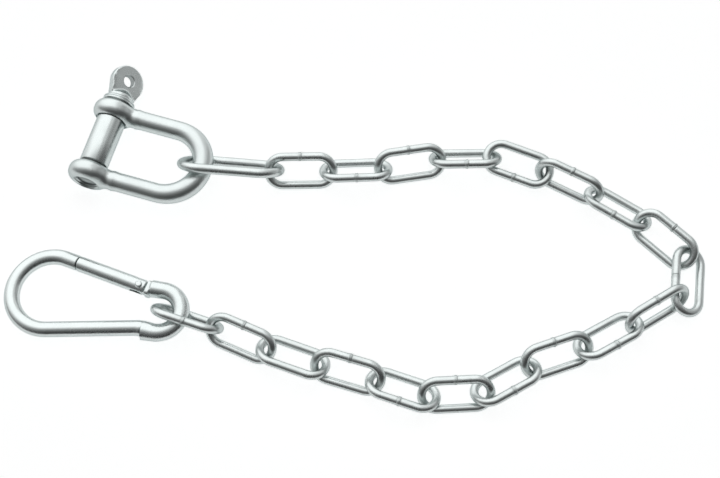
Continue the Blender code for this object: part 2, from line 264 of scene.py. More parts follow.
def merged(first: Array, second: Array, fillet: float) -> Array:
    """Two shapes' distances as one shape with a fillet where they meet."""
    share = np.clip(0.5 + 0.5 * (second - first) / fillet, 0, 1)
    return second + (first - second) * share - fillet * share * (1 - share)


def stepped(table: tuple, radius: float, start: float) -> list:
    """A table of steps in millimetres, as pairs of radius and place along the axis."""
    return [(radius + out * MM, start + along * MM) for out, along in table]


def thread_wave(along: Array, angle: Array, pitch: float) -> Array:
    """A thread's triangle wave, from nought to one, at a place along and round the axis."""
    return np.abs(((along / pitch + angle / TAU) % 1.0) * 2 - 1)


def turned(profile: list, columns: int, marks: dict | None = None) -> Skin:
    """A profile turned about the width axis.

    Formula: at each pair of the profile, a circle of that radius at that place along the axis.

    Args:
        profile: Pairs of radius and place along the axis; radius may be a row of columns.
        columns: How many points round.
        marks: Value of each mark at every pair.

    Returns:
        The closed surface.
    """
    angle = round_angles(columns)
    radius = np.stack([np.zeros(columns) + pair[0] for pair in profile])
    along = np.stack([np.zeros(columns) + pair[1] for pair in profile])
    points = np.stack([radius * np.sin(angle), along, radius * np.cos(angle)], -1)
    spread = {key: np.zeros_like(radius) + np.array(value)[:, None]
              for key, value in (marks or {}).items()}
    return Skin(points, False, spread)


@dataclass(frozen=True)
class Finish:
    """A steel finish: its colours, gloss and grain, and the near-black colour of its painted shade."""

    name: str
    bright: tuple = (0.605, 0.645, 0.640)
    dull: tuple = (0.500, 0.545, 0.542)
    rim: tuple = (0.58, 0.62, 0.62)
    gloss: float = 0.17
    haze: float = 0.30
    grain_depth: float = 0.00006
    grain_scale: float = 850.0
    streak_depth: float = 0.000012
    cloud_scale: float = 55.0
    line_scale: float = 26.0
    details: tuple = (3.0, 4.0, 3.0)
    tone_weights: tuple = (0.55, 0.35, 0.25, 0.45, 0.5)
    tone_start: float = -0.30
    haze_weights: tuple = (1.0, 1.0, 0.6)
    haze_start: float = -0.35
    mark_haze: tuple = (0.10, 0.07, 0.15)
    # Painted shade: the near-black colour put where the bore mark lies, in bores, gaps, recesses and
    # slots.
    painted_shade_colour: tuple = (0.07, 0.075, 0.075)

    def material(self) -> bpy.types.Material:
        """Zinc-plated steel as nodes.

        Colour clouds slowly and has a fine speckle; the weld and the places that rub are duller.
        Where the bore mark lies, the colour is painted near black as shade in bores, gaps, recesses
        and slots. Roughness follows the same clouds and the lines left by drawing the wire. The bump
        is the fine grain of the plating over those lines. Weights and details stand in the order
        clouds, speckle, lines, weld, rub, and those of the marks' haze in the order weld, rub, bore.

        Returns:
            The material.
        """
        material = bpy.data.materials.new(self.name)
        material.use_nodes = True
        tree = material.node_tree
        shader = tree.nodes["Principled BSDF"]
        shader.inputs["Metallic"].default_value = 1.0
        shader.inputs["Specular Tint"].default_value = (*self.rim, 1.0)
        place = tree.nodes.new("ShaderNodeTexCoord").outputs["Object"]
        along = self.attribute(tree, "grain", "Vector")
        clouds = self.noise(tree, place, self.cloud_scale, self.details[0])
        speckle = self.noise(tree, place, self.grain_scale, self.details[1])
        lines = self.noise(tree, along, self.line_scale, self.details[2])
        weld = self.attribute(tree, "weld", "Fac")
        rub = self.attribute(tree, "rub", "Fac")
        # The bore mark says where shade is painted: bores, gaps, recesses and slots.
        bore = self.attribute(tree, "bore", "Fac")
        parts = (clouds, speckle, lines, weld, rub)
        tone = self.total(tree, zip(parts, self.tone_weights), self.tone_start)
        colour = self.mixed(tree, tone, self.bright, self.dull)
        # Painted shade: the colour goes near black where the bore mark lies.
        colour = self.mixed(tree, bore, colour, self.painted_shade_colour)
        tree.links.new(colour, shader.inputs["Base Color"])
        spread = self.haze - self.gloss
        weights = [spread * weight for weight in self.haze_weights] + list(self.mark_haze)
        parts = (clouds, speckle, lines, weld, rub, bore)
        rough = self.total(tree, zip(parts, weights), self.gloss + self.haze_start * spread)
        tree.links.new(rough, shader.inputs["Roughness"])
        fine = self.bump(tree, speckle, self.grain_depth, None)
        drawn = self.bump(tree, lines, self.streak_depth, fine)
        tree.links.new(drawn, shader.inputs["Normal"])
        return material

    @staticmethod
    def noise(tree: Tree, vector: Socket, scale: float, detail: float) -> Socket:
        """A noise from nought to one.

        Args:
            tree: The material's nodes.
            vector: Where it is taken.
            scale: How fine it is.
            detail: How many finer layers it has.

        Returns:
            Output with the noise.
        """
        node = tree.nodes.new("ShaderNodeTexNoise")
        node.inputs["Scale"].default_value = scale
        node.inputs["Detail"].default_value = detail
        tree.links.new(vector, node.inputs["Vector"])
        return node.outputs["Fac"]

    @staticmethod
    def attribute(tree: Tree, name: str, output: str) -> Socket:
        """A mark that the mesh carries.

        Args:
            tree: The material's nodes.
            name: The mark's name.
            output: Which output is wanted.

        Returns:
            That output.
        """
        node = tree.nodes.new("ShaderNodeAttribute")
        node.attribute_name = name
        return node.outputs[output]

    @staticmethod
    def total(tree: Tree, parts: Iterable, start: float) -> Socket:
        """The start plus each value times its weight.

        Args:
            tree: The material's nodes.
            parts: Pairs of an output and its weight.
            start: The value to begin with.

        Returns:
            Output with the sum, kept from nought to one.
        """
        node = None
        for source, weight in parts:
            before, node = node, tree.nodes.new("ShaderNodeMath")
            node.operation = "MULTIPLY_ADD"
            tree.links.new(source, node.inputs[0])
            node.inputs[1].default_value = weight
            node.inputs[2].default_value = start
            if before is not None:
                tree.links.new(before.outputs[0], node.inputs[2])
        node.use_clamp = True
        return node.outputs[0]

    @staticmethod
    def mixed(tree: Tree, factor: Socket, first: Socket | tuple, second: Socket | tuple) -> Socket:
        """Two colours mixed.

        Args:
            tree: The material's nodes.
            factor: Share of the second.
            first: A colour or an output.
            second: The same.

        Returns:
            Output with the mixture.
        """
        node = tree.nodes.new("ShaderNodeMix")
        node.data_type = "RGBA"
        tree.links.new(factor, node.inputs["Factor"])
        for socket, colour in ((node.inputs[6], first), (node.inputs[7], second)):
            if isinstance(colour, tuple):
                socket.default_value = (*colour, 1.0)
            else:
                tree.links.new(colour, socket)
        return node.outputs[2]

    @staticmethod
    def bump(tree: Tree, height: Socket, depth: float, normal: Socket | None) -> Socket:
        """A bump over the surface.

        Args:
            tree: The material's nodes.
            height: Its height, from nought to one.
            depth: What one stands for, in metres.
            normal: A bump that this one lies over, or none.

        Returns:
            Output with the normal.
        """
        node = tree.nodes.new("ShaderNodeBump")
        node.inputs["Distance"].default_value = depth
        tree.links.new(height, node.inputs["Height"])
        if normal is not None:
            tree.links.new(normal, node.inputs["Normal"])
        return node.outputs["Normal"]


WIRE_FINISH = Finish("zinc_wire", bright=(0.625, 0.665, 0.66), dull=(0.40, 0.435, 0.43),
                     grain_depth=0.00008)
FORGED_FINISH = Finish("zinc_forging", gloss=0.18, haze=0.32, grain_depth=0.00007, grain_scale=800.0,
                       streak_depth=0.000004)
PIN_FINISH = Finish("zinc_turned", gloss=0.14, haze=0.26, grain_depth=0.00002, streak_depth=0.00001)
HOOK_FINISH = Finish("zinc_rod", bright=(0.615, 0.655, 0.650), gloss=0.13, haze=0.26,
                     grain_depth=0.000035)


class Workshop:
    """Turns surfaces into finished pieces of the scene."""

    def __init__(self) -> None:
        """Keep one material for each finish."""
        self.materials: dict = {}

    def material(self, finish: Finish) -> bpy.types.Material:
        """The finish's material, made once.

        Args:
            finish: The finish.

        Returns:
            Its material.
        """
        if finish.name not in self.materials:
            self.materials[finish.name] = finish.material()
        return self.materials[finish.name]

    def cut(self, body: bpy.types.Mesh, tools: list, operation: str = "DIFFERENCE") -> bpy.types.Mesh:
        """A mesh cut by, or joined with, closed meshes.

        Args:
            body: The mesh to work on.
            tools: Meshes in the same axes.
            operation: Name of the Boolean.

        Returns:
            The new mesh, with the marks of both.
        """
        things = [bpy.data.objects.new("work", mesh) for mesh in [body, *tools]]
        for thing in things:
            bpy.context.scene.collection.objects.link(thing)
        for tool in things[1:]:
            modifier = things[0].modifiers.new("cut", "BOOLEAN")
            modifier.operation = operation
            modifier.object = tool
        bpy.context.view_layer.update()
        seen = things[0].evaluated_get(bpy.context.evaluated_depsgraph_get())
        result = bpy.data.meshes.new_from_object(seen)
        for thing in things:
            bpy.data.objects.remove(thing)
        return result

    def piece(self, name: str, mesh: bpy.types.Mesh, finish: Finish, body: str, node: str) -> None:
        """Put a finished piece in the scene, on its body and in place of its solid.

        Args:
            name: Name of the piece.
            mesh: Its mesh, in the frame.
            finish: Its finish.
            body: The body it rides on.
            node: The solid it stands for.
        """
        mesh.materials.clear()
        mesh.materials.append(self.material(finish))
        mesh.shade_smooth()
        mesh.set_sharp_from_angle(angle=np.radians(SMOOTH_ANGLE))
        thing = bpy.data.objects.new(name, mesh)
        bpy.context.scene.collection.objects.link(thing)
        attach(thing, body)
        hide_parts(node)
        log.info("%s: %d faces on %s", name, len(mesh.polygons), body)


def corners(node: bpy.types.Object) -> Array:
    """The different corners of a solid.

    Args:
        node: The solid.

    Returns:
        Its corners in the frame, each once.
    """
    values = np.zeros(len(node.data.vertices) * 3, np.float32)
    node.data.vertices.foreach_get("co", values)
    return np.unique(np.round(values.reshape(-1, 3).astype(float), 6), axis=0)


@dataclass
class Link:
    """One welded link: a round wire bent to a ring with straight sides."""

    name: str
    wire: float = 8 * MM
    inner_length: float = 52 * MM
    width: float = 35 * MM
    weld: Side = Side.HIDDEN
    seed: float = 0.0
    rows: int = 112
    columns: int = 32
    crown_thinning: float = 0.03
    thinning: float = 0.022
    weld_height: float = 0.42 * MM
    weld_width: float = 1.5 * MM
    weld_mark: float = 2.0 * MM
    weld_rows: int = 11
    weld_step: float = 0.3 * MM
    weld_clear: float = 0.5 * MM
    lumps: tuple = (0.3, 0.15)
    burr_share: float = 0.65
    burr_lump: float = 0.5
    burr_width: float = 0.42 * MM
    burr_at: float = 1.1 * MM
    groove_depth: float = 0.34 * MM
    groove_width: float = 0.45 * MM
    groove_at: float = 1.3 * MM

    def place(self, points: Array, before: Array) -> Place:
        """The link's axes, from the spread of its solid's corners.

        Args:
            points: Corners of the solid.
            before: A point back along the chain.

        Returns:
            Axes whose a leads away from that point, with b to the left of travel.
        """
        middle = points.mean(0)
        axes = np.linalg.eigh(np.cov((points - middle).T))[1]
        a, b = axes[:, 2], axes[:, 1]
        a = a * np.sign(a @ (middle - before))
        b = b * np.sign(b @ np.cross(UP, a))
        return Place(middle, a, b, np.cross(a, b))

    def stations(self, length: float, weld_at: float) -> Array:
        """Places along the wire, closer together at the weld.

        Args:
            length: Length of the wire.
            weld_at: Place of the weld.

        Returns:
            The places in order.
        """
        even = np.arange(self.rows) * length / self.rows
        fine = np.arange(-self.weld_rows, self.weld_rows + 1) * self.weld_step
        near = (weld_at + fine) % length
        gap = np.abs((even[:, None] - near[None, :] + length / 2) % length - length / 2).min(1)
        return np.sort(np.concatenate([even[gap > self.weld_clear], near]))

    def skin(self) -> Skin:
        """The link's surface.

        Formula: the centreline is two straight sides joined by half circles. The wire's radius is
        thinner by a share at the crowns, and wavers in waves of three and five to the ring. At the
        weld it swells unevenly where the ends were pressed together, with a raised burr on one side
        of it and a shallow groove on the other. The crowns' inner side is rubbed.

        Returns:
            The closed ring.
        """
        radius = (self.width - self.wire) / 2
        half = (self.inner_length + self.wire) / 2 - radius
        bend = np.pi * radius
        length = 4 * half + 2 * bend
        weld_at = length / 2 if self.weld is Side.LEFT else 0.0
        s = self.stations(length, weld_at)
        first = np.clip((s - half) / radius, 0, np.pi)
        second = np.clip((s - 3 * half - bend) / radius, 0, np.pi)
        x = np.clip(s, 0, half) - np.clip(s - half - bend, 0, 2 * half)
        x = x + np.clip(s - 3 * half - 2 * bend, 0, half) + radius * (np.sin(first) - np.sin(second))
        y = -radius * np.cos(first) - radius * (1 - np.cos(second))
        heading = first + second
        crown = np.sin(first) + np.sin(second)
        angle = round_angles(self.columns)[None, :]
        share = s * TAU / length
        waver = np.sin(3 * share + self.seed) + np.sin(5 * share + 2.3 * self.seed)
        wire = self.wire / 2 * (1 - self.crown_thinning * crown - self.thinning * (1 + waver / 4))
        d = ((s - weld_at + length / 2) % length - length / 2)[:, None]
        uneven = 1 + self.lumps[0] * np.sin(angle + self.seed)
        uneven = uneven + self.lumps[1] * np.sin(3 * angle + 2 * self.seed)
        swell = self.weld_height * bell(d, self.weld_width) * uneven
        burr = self.burr_share * self.weld_height * bell(d - self.burr_at, self.burr_width)
        burr = burr * (1 + self.burr_lump * np.sin(2 * angle + self.seed))
        groove = self.groove_depth * bell(d + self.groove_at, self.groove_width)
        shown = 0.0 if self.weld is Side.HIDDEN else 1.0
        wire = wire[:, None] + shown * (swell + burr - groove)
        points = swept(np.stack([x, y], -1), heading, wire * np.cos(angle), wire * np.sin(angle))
        weld = shown * bell(d, self.weld_mark) + 0 * angle
        rub = crown[:, None] ** 3 * inner_side(angle)
        return Skin(points, True, {"weld": weld, "rub": rub})

    def build(self, shop: Workshop, nodes: dict, before: Array) -> Array:
        """Make the link where its solid lies.

        Args:
            shop: Where pieces are made.
            nodes: The frame's solids.
            before: A point back along the chain.

        Returns:
            The link's middle.
        """
        place = self.place(corners(nodes[self.name]), before)
        mesh = self.skin().mesh(self.name + "_wire", place)
        shop.piece(self.name + "_wire", mesh, WIRE_FINISH, self.name, self.name)
        return place.origin


@dataclass
class Chain:
    """The end link and the links after it."""

    count: int = 20
    end_wire: float = 9 * MM
    end_inner_length: float = 81 * MM
    end_width: float = 49 * MM
    end_rows: int = 150
    end_seed: float = 0.7
    seed_step: float = 2.4
    outer_link: int = 10
    outer_weld_height: float = 0.05 * MM
    outer_narrowing: float = 0.40 * MM
    left_welds: tuple = (2, 4, 7, 9, 12, 14, 16, 20)
    right_welds: tuple = (3, 5, 6, 8, 10, 11, 13, 15, 17, 19)

    def side(self, number: int) -> Side:
        """The long side that a link's weld is on.

        Args:
            number: The link's number.

        Returns:
            The side.
        """
        if number in self.left_welds:
            return Side.LEFT
        return Side.RIGHT if number in self.right_welds else Side.HIDDEN

    def build(self, shop: Workshop, nodes: dict) -> Array:
        """Make every link in order of travel.

        Args:
            shop: Where pieces are made.
            nodes: The frame's solids.

        Returns:
            Middle of the last link.
        """
        start = corners(nodes["shackle_bow"]).mean(0)
        end = Link("end_link", self.end_wire, self.end_inner_length, self.end_width,
                   rows=self.end_rows, seed=self.end_seed)
        at = end.build(shop, nodes, start)
        for number in range(2, self.count + 1):
            link = Link("link_%02d" % number, weld=self.side(number), seed=self.seed_step * number)
            if number == self.outer_link:
                link.weld_height = self.outer_weld_height
                link.width -= self.outer_narrowing
            at = link.build(shop, nodes, at)
        return at


@dataclass
class Shackle:
    """Forged D-shackle: bow with two bored ears, and the screw pin through them."""

    half_spacing: float = 32.5 * MM
    pin_to_crown: float = 64 * MM
    crown_radius: float = 9.5 * MM
    arm_radius: float = 8.85 * MM
    ear_radius: float = 19.5 * MM
    ear_half: float = 9 * MM
    ear_edge: float = 8.3 * MM
    fillet: float = 3.5 * MM
    ear_start: float = 0.03
    ear_turn: float = 0.62 * np.pi
    ear_rows: int = 56
    arm_rows: int = 26
    crown_rows: int = 61
    swell_share: float = 0.8
    bore: float = 13.7 * MM
    bead: float = 0.6 * MM
    bead_at: float = 23.5 * MM
    bead_width: float = 1.9 * MM
    arm_overlap: float = 4 * MM
    overlap_slope: float = 3.0
    flare: float = 1.7 * MM
    lip_share: float = 0.2
    plain_reach: float = 4 * MM
    # Share of painted shade, near black, on the faces of the plain bore.
    plain_shade: float = 0.8
    lead_in: float = 1.2 * MM
    thread_reach: tuple = (2 * MM, 1.5 * MM)
    thread_rows: int = 90
    thread_bore: float = 10.9 * MM
    thread_pitch: float = 2.5 * MM
    thread_depth: float = 1.2 * MM
    screw_depth: float = 0.9 * MM
    thread_step: float = 0.3 * MM
    gap_width: float = 1.5 * MM
    gap_depth: float = 1.9 * MM
    gap_reach: float = 5 * MM
    groove: float = 1.1 * MM
    groove_width: float = 1.3 * MM
    barrel: float = 13.3 * MM
    thread: float = 10.5 * MM
    recess: float = 3 * MM
    tip_steps: tuple = ((-9.3, 0.5), (-7.5, 0.1), (-6.3, 0.0), (-1.6, 0.0), (-1.0, 0.3))
    # Share of painted shade, near black, on the pin's tip.
    tip_shade: float = 0.5
    thread_start: float = 0.8 * MM
    thread_end: float = 1.2 * MM
    root_start: float = 0.9 * MM
    barrel_steps: tuple = ((-0.2, 0.6), (0.0, 1.0))
    seat_steps: tuple = ((0.0, -0.3), (0.0, 0.0))
    collar: float = 15 * MM
    collar_height: float = 4.5 * MM
    collar_steps: tuple = ((-0.5, 0.0), (0.0, 0.5), (0.0, 1.5), (-0.7, 1.9), (-0.7, 2.3), (0.0, 2.7),
                           (0.0, 3.3), (-0.4, 4.1), (-1.2, 4.5))
    ring: float = 12.5 * MM
    ring_height: float = 4 * MM
    ring_steps: tuple = ((-0.9, 0.0), (-0.9, 0.4), (0.0, 0.9), (0.0, 2.4), (-0.35, 3.4))
    head_radius: float = 16.5 * MM
    head_height: float = 35 * MM
    head_half: float = 3.75 * MM
    head_edge: float = 1.6 * MM
    head_root: float = 0.6 * MM
    head_overlap: float = 0.4 * MM
    head_rows: int = 64
    head_fillets: tuple = (1.0 * MM, 3.5 * MM)
    neck_half: float = 11.5 * MM
    neck_slope: float = 0.25
    cone_slope: float = 1.25
    cone_inset: float = 1.0 * MM
    hole_shift: float = 1.5 * MM
    head_hole: float = 5.5 * MM
    hole_steps: tuple = ((3.0, 2.4), (0.9, 0.3), (0.0, -0.6))
    hole_columns: int = 48
    head_roll: float = 43.0
    clearance: float = 0.4 * MM
    columns: int = 64

    def ends(self) -> tuple:
        """Places of an ear's inner and outer face along the pin."""
        return self.half_spacing - self.ear_half, self.half_spacing + self.ear_half

    def head_middle(self) -> float:
        """Place of the middle of the head's disc along the pin."""
        low = self.ends()[1] + self.clearance + self.collar_height
        return low + self.head_root + self.head_height - self.head_radius

    def place(self, nodes: dict, joints: dict) -> Place:
        """The shackle's axes: crown's middle as origin, pin along b, flat on the floor.

        Args:
            nodes: The frame's solids.
            joints: The frame's joints by name.

        Returns:
            The axes.
        """
        b = unit(np.array(joints["pin_withdrawal"]["axis"]))
        a = np.cross(b, UP)
        points = corners(nodes["shackle_bow"])
        along, aside = points @ a, points @ b
        origin = a * (along.max() - self.half_spacing - self.crown_radius)
        origin = origin + b * (aside.min() + aside.max()) / 2 + UP * self.ear_radius
        return Place(origin, a, b, UP)

    def bow_skin(self) -> Skin:
        """Bow and ears as one surface carried along the bow.

        Formula: the path runs from the far side of one ear along its arm, round the crown and back
        to the other ear. At each point of it rays go out across the path, and the skin lies where
        the merged distance to the round arm and to the ear's disc is nought. The arm swells to the
        crown's size, and has a low bead where it leaves the ear. The crown's inner side is rubbed.

        Returns:
            The closed surface.
        """
        side, back = self.half_spacing, self.pin_to_crown
        around = np.linspace(self.ear_start, self.ear_turn, self.ear_rows)
        ear = -back - self.ear_radius * np.cos(around)
        arm = np.linspace(ear[-1], 0, self.arm_rows)[1:-1]
        turn = np.linspace(0, np.pi, self.crown_rows)
        straight = np.concatenate([ear, arm])
        x = np.concatenate([straight, side * np.sin(turn), straight[::-1]])
        y = np.concatenate([0 * straight - side, -side * np.cos(turn), 0 * straight + side])
        heading = np.concatenate([0 * straight, turn, 0 * straight + np.pi])
        angle = round_angles(self.columns)[None, :]
        along = x[:, None] + back
        swelling = np.sin(np.concatenate([0 * straight, turn, 0 * straight]))[:, None]
        growth = ease(x[:, None], 0, self.swell_share * side)
        rod = self.arm_radius + (self.crown_radius - self.arm_radius) * growth
        rod = rod + self.bead * bell(along - self.bead_at, self.bead_width)
        on_arm = (x <= 0)[:, None]

        def skin_at(distance: Array) -> Array:
            """Distance to the forging.

            Args:
                distance: Distances along the rays.

            Returns:
                Values below nought inside it.
            """
            across, up = distance * np.cos(angle), distance * np.sin(angle)
            round_arm = distance - rod
            ear_disc = disc(np.hypot(along, up), across, self.ear_radius, self.ear_half, self.ear_edge)
            past = np.maximum(-along - self.arm_overlap, 0)
            joined = merged(round_arm + self.overlap_slope * past, ear_disc, self.fillet)
            return np.where(on_arm, joined, round_arm)

        reach = traced(skin_at, (len(x), self.columns), 2 * self.ear_radius)
        points = swept(np.stack([x, y], -1), heading, reach * np.cos(angle), reach * np.sin(angle))
        return Skin(points, False, {"rub": swelling ** 4 * inner_side(angle)})

    def bore_skins(self) -> list:
        """The tools that bore the ears: plain through the far one, threaded through the near one.

        Formula: the plain tool is turned, flared at both faces of the ear. The threaded tool's
        radius rises and falls as a triangle wave of its place along the axis less a turn's share of
        the pitch, and flares at the outer face. Both ears have a shallow recess round the barrel.
        Every tool carries the bore mark, so the faces it cuts are painted dark as shade.

        Returns:
            Closed surfaces about the pin's axis.
        """
        inner, outer = self.ends()
        wide, lip, far = self.bore + self.flare, self.lip_share * self.flare, self.plain_reach
        # Painted shade: the plain bore's faces are painted dark by plain_shade.
        plain = turned([
            (self.bore + far, inner - far), (wide, inner - lip), (self.bore, inner + self.flare),
            (self.bore, outer - self.flare), (wide, outer + lip), (self.bore + far, outer + far)],
            self.columns, {"bore": [self.plain_shade] * 6})
        before, after = self.thread_reach
        y = np.linspace(-outer - before, -inner + after, self.thread_rows)[:, None]
        angle = round_angles(self.columns)[None, :]
        wide = self.thread_bore + self.thread_depth * thread_wave(y, angle, self.thread_pitch)
        wide = np.maximum(wide, self.thread_bore + self.lead_in - (y + outer))
        points = np.stack([wide * np.sin(angle), y + 0 * angle, wide * np.cos(angle)], -1)
        # Painted shade: the threaded bore's faces are painted fully dark.
        threaded = Skin(points, False, {"bore": np.ones(wide.shape)})
        gap, low, high = self.barrel + self.gap_width, inner - self.gap_reach, inner + self.gap_depth
        # Painted shade: the recesses round the barrel are painted fully dark, as gap lines.
        recesses = [turned([(gap, start), (gap, end)], self.columns, {"bore": [1.0, 1.0]})
                    for start, end in ((-high, -low), (low, high))]
        return [plain, threaded, *recesses]

    def pin_skin(self) -> Skin:
        """Screw pin from its threaded tip to the top of its flat eye.

        Formula: below the head, radius by place along the axis, with the thread's triangle wave at
        the tip. The head's skin is traced out of the axis: a flat disc with a rounded rim, merged
        with a cone that narrows from the ring to the neck. A groove separates thread and barrel.
        The groove inside the near ear is painted dark as shade, and the tip partly so.

        Returns:
            The closed surface, without the eye's hole.
        """
        inner, outer = self.ends()
        angle = round_angles(self.columns * 2)
        tip, seat = -outer + self.recess, outer + self.clearance
        low = seat + self.collar_height
        high, shoulder = low + self.ring_height, self.groove_width - inner
        profile = stepped(self.tip_steps, self.thread, tip)
        for y in np.arange(tip + self.thread_start, -inner - self.thread_end, self.thread_step):
            wave = thread_wave(y, angle, self.thread_pitch)
            profile.append((self.thread - self.screw_depth * (1 - wave), y))
        root, bottom = self.thread - self.screw_depth, self.barrel - self.groove
        profile += [(root, -inner - self.root_start), (root, -inner)]
        profile += [(bottom, -inner), (bottom, shoulder)]
        profile += stepped(self.barrel_steps, self.barrel, shoulder) + [(self.barrel, 0.0)]
        profile += stepped(self.seat_steps, self.barrel, seat)
        profile += stepped(self.collar_steps, self.collar, seat)
        profile += stepped(self.ring_steps, self.ring, low)
        middle, foot = self.head_middle(), high - self.head_overlap
        swing = np.sin(np.linspace(0, 1, self.head_rows) * np.pi / 2)
        y = (foot + (middle + self.head_radius - foot) * swing)[1:-1, None]
        roll = np.radians(self.head_roll)

        def skin_at(distance: Array) -> Array:
            """Distance to the head.

            Args:
                distance: Distances along the rays.

            Returns:
                Values below nought inside it.
            """
            across = distance * np.sin(angle - roll)
            thick = distance * np.cos(angle - roll)
            plate = disc(np.hypot(across, y - middle), thick, self.head_radius, self.head_half,
                         self.head_edge)
            neck = np.abs(across) - self.neck_half - self.neck_slope * (y - low - self.head_root)
            neck = np.maximum(np.maximum(neck, np.abs(thick) - self.head_half), y - middle)
            cone = distance - (self.ring - self.cone_inset - self.cone_slope * (y - high))
            return merged(merged(plate, neck, self.head_fillets[0]), cone, self.head_fillets[1])

        head = traced(skin_at, (len(y), len(angle)), 2 * self.head_radius)
        profile += list(zip(head, y[:, 0]))
        # Painted shade: near black on the groove inside the near ear, and partly on the tip.
        dark = [1.0 if -inner <= pair[1] <= shoulder else 0.0 for pair in profile]
        dark[:4] = [self.tip_shade] * 4
        return turned(profile, self.columns * 2, {"bore": dark})

    def hole_skin(self) -> Skin:
        """The tool that cuts the eye's hole in the pin's head.

        Formula: a cylinder, flared at both faces of the plate.

        Returns:
            The closed surface about the plate's normal.
        """
        steps = stepped(self.hole_steps, self.head_hole, self.head_half)
        return turned([(radius, -along) for radius, along in steps] + steps[::-1],
                      self.hole_columns)

    def build(self, shop: Workshop, nodes: dict, joints: dict) -> None:
        """Make the bow and the pin where their solids lie.

        Args:
            shop: Where pieces are made.
            nodes: The frame's solids.
            joints: The frame's joints by name.
        """
        place = self.place(nodes, joints)
        pin = Place(place.world(np.array([-self.pin_to_crown, 0, 0])), place.a, place.b, place.n)
        tools = [skin.mesh("bore", pin) for skin in self.bore_skins()]
        bow = shop.cut(self.bow_skin().mesh("bow", place), tools)
        shop.piece("shackle_forging", bow, FORGED_FINISH, "shackle", "shackle_bow")
        roll = np.radians(self.head_roll)
        thick = pin.n * np.cos(roll) + pin.a * np.sin(roll)
        across = pin.a * np.cos(roll) - pin.n * np.sin(roll)
        middle = np.array([0, self.head_middle() + self.hole_shift, 0])
        eye = Place(pin.world(middle), pin.b, thick, across)
        screw = shop.cut(self.pin_skin().mesh("pin", pin), [self.hole_skin().mesh("hole", eye)])
        shop.piece("shackle_screw_pin", screw, PIN_FINISH, "shackle_pin", "shackle_pin")


